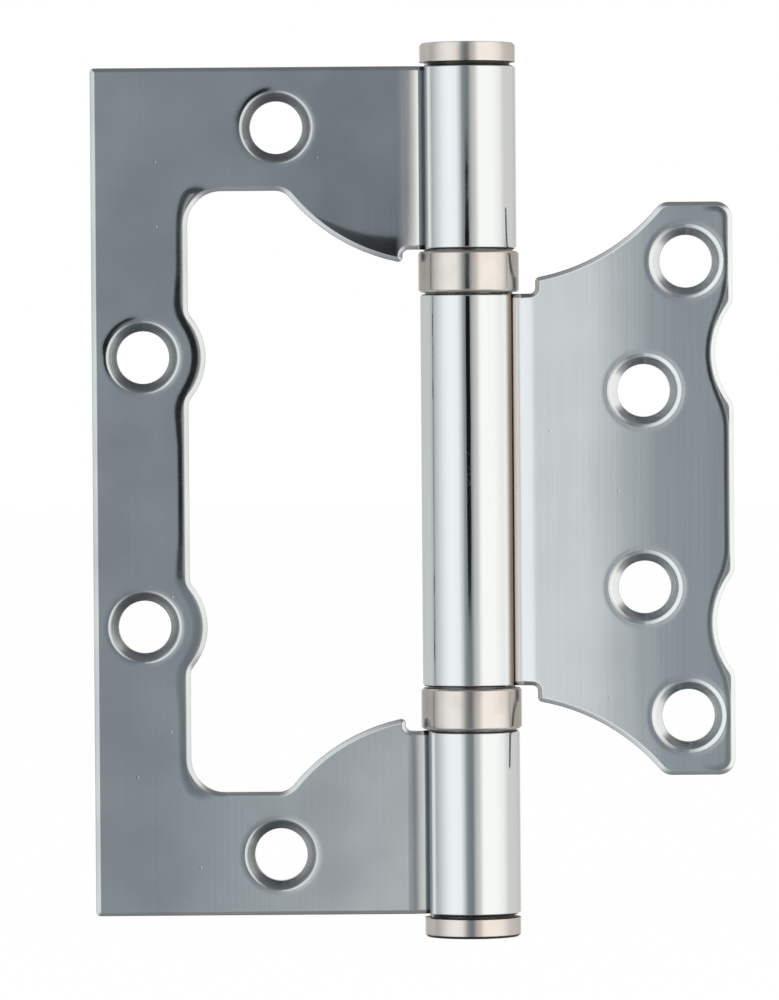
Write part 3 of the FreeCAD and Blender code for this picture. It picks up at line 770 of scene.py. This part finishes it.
def nickelMaterial(piece):
    material = newMaterial("satin nickel on turned steel, " + piece)
    tree = material.node_tree
    finish = valuesOf(nickelFinish, piece)
    spot = placeFromPin(tree)
    around, along, deep = finish["lines"]
    stretched = addNode(tree, "Mapping", {0: spot, "Scale": (around, around, along)}, vector_type="TEXTURE")
    lines = addNode(tree, "TexNoise", {0: stretched, "Scale": 1.0, "Detail": 2.0, "Roughness": 0.6})
    height = addNode(tree, "Math", {0: lines, 1: deep * mm}, operation="MULTIPLY")
    rounded = addNode(tree, "Bevel", {"Radius": finish["edgeRounding"] * mm}, samples=8)
    bump = addNode(tree, "Bump", {"Strength": 1.0, "Distance": 1.0, "Height": height, "Normal": rounded})
    upright = (1, 1, finish["edgeTilt"])
    eased = addNode(tree, "VectorMath", {0: bump, 1: upright}, operation="MULTIPLY")
    facing = addNode(tree, "VectorMath", {0: eased}, operation="NORMALIZE")

    patch = addNode(tree, "TexNoise", {0: spot, "Scale": finish["patchesPerMm"], "Detail": 3.0})
    start, full = finish["bloomLevels"]
    bloomed = addNode(tree, "MapRange", {0: patch, 1: start, 2: full})
    tone = addNode(tree, "Mix", {
        0: bloomed, 6: linearColour(finish["nickel"]), 7: linearColour(finish["bloom"]),
    }, data_type="RGBA")
    # Darker towards the flanks left and right of the pin: painted shade, with grime in patches
    axes = addNode(tree, "SeparateXYZ", {0: spot})
    aside = addNode(tree, "Math", {0: axes.outputs["X"]}, operation="ABSOLUTE")
    start, full = finish["grimeAndShadeFrom"]
    beside = addNode(tree, "MapRange", {0: aside, 1: start, 2: full, 4: finish["grimeAndShadeShare"]})
    start, full, thinner = finish["grimeAndShadePatch"]
    smudge = addNode(tree, "MapRange", {0: patch, 1: start, 2: full, 3: thinner, 4: 1.0})
    grimyAndShaded = addNode(tree, "Math", {0: beside, 1: smudge}, operation="MULTIPLY")
    usedAndShaded = addNode(tree, "Mix", {0: grimyAndShaded, 6: tone.outputs[2], 7: linearColour(finish["grimeAndShade"])},
                   data_type="RGBA")

    start, full = finish["roughnessLevels"]
    least, most = (finish["roughness"] + v for v in finish["roughnessSpread"])
    satin = addNode(tree, "MapRange", {0: lines, 1: start, 2: full, 3: least, 4: most})
    # Near black where the grooves close in: dirt, with painted shade
    corner = addNode(tree, "AmbientOcclusion", {"Distance": finish["dirtAndShadeReach"] * mm}, samples=8)
    start, full = finish["dirtAndShadeAt"]
    amount = addNode(tree, "MapRange", {0: corner.outputs["AO"], 1: start, 2: full})
    colour = addNode(tree, "Mix", {0: amount, 6: usedAndShaded.outputs[2], 7: linearColour(finish["dirtAndShade"])},
                     data_type="RGBA")
    clean = addNode(tree, "MapRange", {0: amount, 3: 1.0, 4: finish["dirtAndShadeMetallic"]})
    dull = addNode(tree, "Mix", {0: amount, 2: satin, 3: finish["dirtAndShadeRoughness"]})
    metal = addNode(tree, "BsdfPrincipled", {
        "Base Color": colour.outputs[2], "Metallic": clean, "Roughness": dull, "Normal": facing,
    })
    addNode(tree, "OutputMaterial", {"Surface": metal})
    return material


# Steel inside the barrel: the ground pin, the turned and hardened races and the lapped balls. Greyer than
# chrome, with the marks of the wheel round the pin's axis, and dark and brown where the grease lies

steelFinish = {
    "made": {"pin": "ground steel", "race": "hardened steel, turned", "ball": "bearing steel, lapped"},
    "steel": {"pin": "#A9ABAC", "race": "#8F9192", "ball": "#C2C4C5"},
    "grease": "#3A2E22",
    "greaseShare": {"pin": 0.25, "race": 0.8, "ball": 0.35},
    "greaseSize": 1.6,              # mm, of a smear
    "greaseLevels": (0.35, 0.65),   # of the smears, from half that share to all of it
    # mm: width round the axis, width along it and height of the grinding marks; finer ones wouldn't show
    "marks": {"pin": (5.0, 0.1, 0.0012), "race": (4.0, 0.12, 0.0015), "ball": (0.5, 0.5, 0.0003)},
    "roughness": {"pin": 0.24, "race": 0.3, "ball": 0.08},
    "roughnessLevels": (0.3, 0.7),  # of the marks, from smoother to rougher
    "roughnessSpread": (0.8, 1.2),
    "greaseRoughness": 0.35,
}


def steelMaterial(piece):
    finish = valuesOf(steelFinish, piece)
    material = newMaterial(f"{finish['made']}, {piece}")
    tree = material.node_tree
    spot = placeFromPin(tree)
    around, along, deep = finish["marks"]
    stretched = addNode(tree, "Mapping", {0: spot, "Scale": (around, around, along)}, vector_type="TEXTURE")
    marks = addNode(tree, "TexNoise", {0: stretched, "Scale": 1.0, "Detail": 2.0, "Roughness": 0.6})
    height = addNode(tree, "Math", {0: marks, 1: deep * mm}, operation="MULTIPLY")
    bump = addNode(tree, "Bump", {"Strength": 1.0, "Distance": 1.0, "Height": height})
    smear = addNode(tree, "TexNoise", {0: spot, "Scale": 1 / finish["greaseSize"], "Detail": 2.0})
    share = finish["greaseShare"]
    start, full = finish["greaseLevels"]
    greased = addNode(tree, "MapRange", {0: smear, 1: start, 2: full, 3: share / 2, 4: share})
    colour = addNode(tree, "Mix", {
        0: greased, 6: linearColour(finish["steel"]), 7: linearColour(finish["grease"]),
    }, data_type="RGBA")
    start, full = finish["roughnessLevels"]
    least, most = (finish["roughness"] * v for v in finish["roughnessSpread"])
    ground = addNode(tree, "MapRange", {0: marks, 1: start, 2: full, 3: least, 4: most})
    satin = addNode(tree, "Mix", {0: greased, 2: ground, 3: finish["greaseRoughness"]})
    metal = addNode(tree, "BsdfPrincipled", {
        "Base Color": colour.outputs[2], "Metallic": 1.0, "Roughness": satin, "Normal": bump,
    })
    addNode(tree, "OutputMaterial", {"Surface": metal})
    return material


def dress(names, material):
    for name in names:
        for slot in frame["nodes"][name].material_slots:
            slot.material = material


nodeNames = list(frame["nodes"])
dress(["outer_leaf"], leafMaterial("outer_leaf"))
dress(["inner_leaf"], leafMaterial("inner_leaf"))
dress([n for n in nodeNames if n.endswith("cap")], nickelMaterial("cap"))
dress([n for n in nodeNames if n.endswith("shell")], nickelMaterial("ring"))
dress(["pin"], steelMaterial("pin"))
dress([n for n in nodeNames if n.endswith("race")], steelMaterial("race"))
dress([n for n in nodeNames if "ball" in n], steelMaterial("ball"))
print("materials on")
